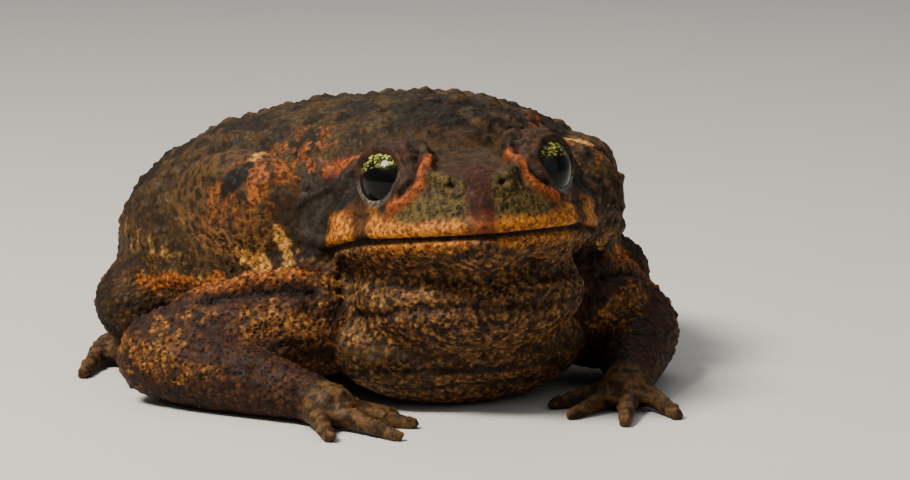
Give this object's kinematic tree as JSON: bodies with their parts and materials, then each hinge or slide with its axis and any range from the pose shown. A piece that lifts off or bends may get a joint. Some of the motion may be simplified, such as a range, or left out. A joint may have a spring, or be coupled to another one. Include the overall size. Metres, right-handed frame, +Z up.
{
  "type": "cane toad",
  "caption": "Large warty toad at life size, squatting low and puffed up with its belly on the floor, broad blunt head, swollen glands behind the eyes and folded legs.",
  "frame": {"origin": "centre of the bounding box, on the floor under the belly", "axes": "+Z up, -Y the way the toad faces, +X towards its left side"},
  "size_m": [0.127, 0.1424, 0.0561],
  "materials": {
    "torso": "warty moist skin, dark olive brown with rust and cream mottling",
    "head": "moist skin, brown above with an amber upper lip",
    "lower_jaw": "granular pale tan skin with dark pits",
    "eyes": "wet black pupil in a gold-green veined iris",
    "eardrums": "smooth dark grey skin",
    "parotoids": "pitted skin, brown with orange blotches",
    "arms": "granular brown skin with rust and golden granules",
    "legs": "warty brown skin",
    "hands_and_feet": "tan-brown skin, blunt tips"
  },
  "bodies": {
    "root": {"torso": "torso", "head": "head", "lower_jaw": "lower_jaw", "eye_left": "eyes", "eye_right": "eyes", "eardrum_left": "eardrums", "eardrum_right": "eardrums", "parotoid_left": "parotoids", "parotoid_right": "parotoids", "upper_arm_left": "arms", "upper_arm_right": "arms", "forearm_left": "arms", "forearm_right": "arms", "hand_left": "hands_and_feet", "hand_right": "hands_and_feet", "thigh_left": "legs", "thigh_right": "legs", "shin_left": "legs", "shin_right": "legs", "foot_left": "hands_and_feet", "foot_right": "hands_and_feet"}
  },
  "joints": []
}
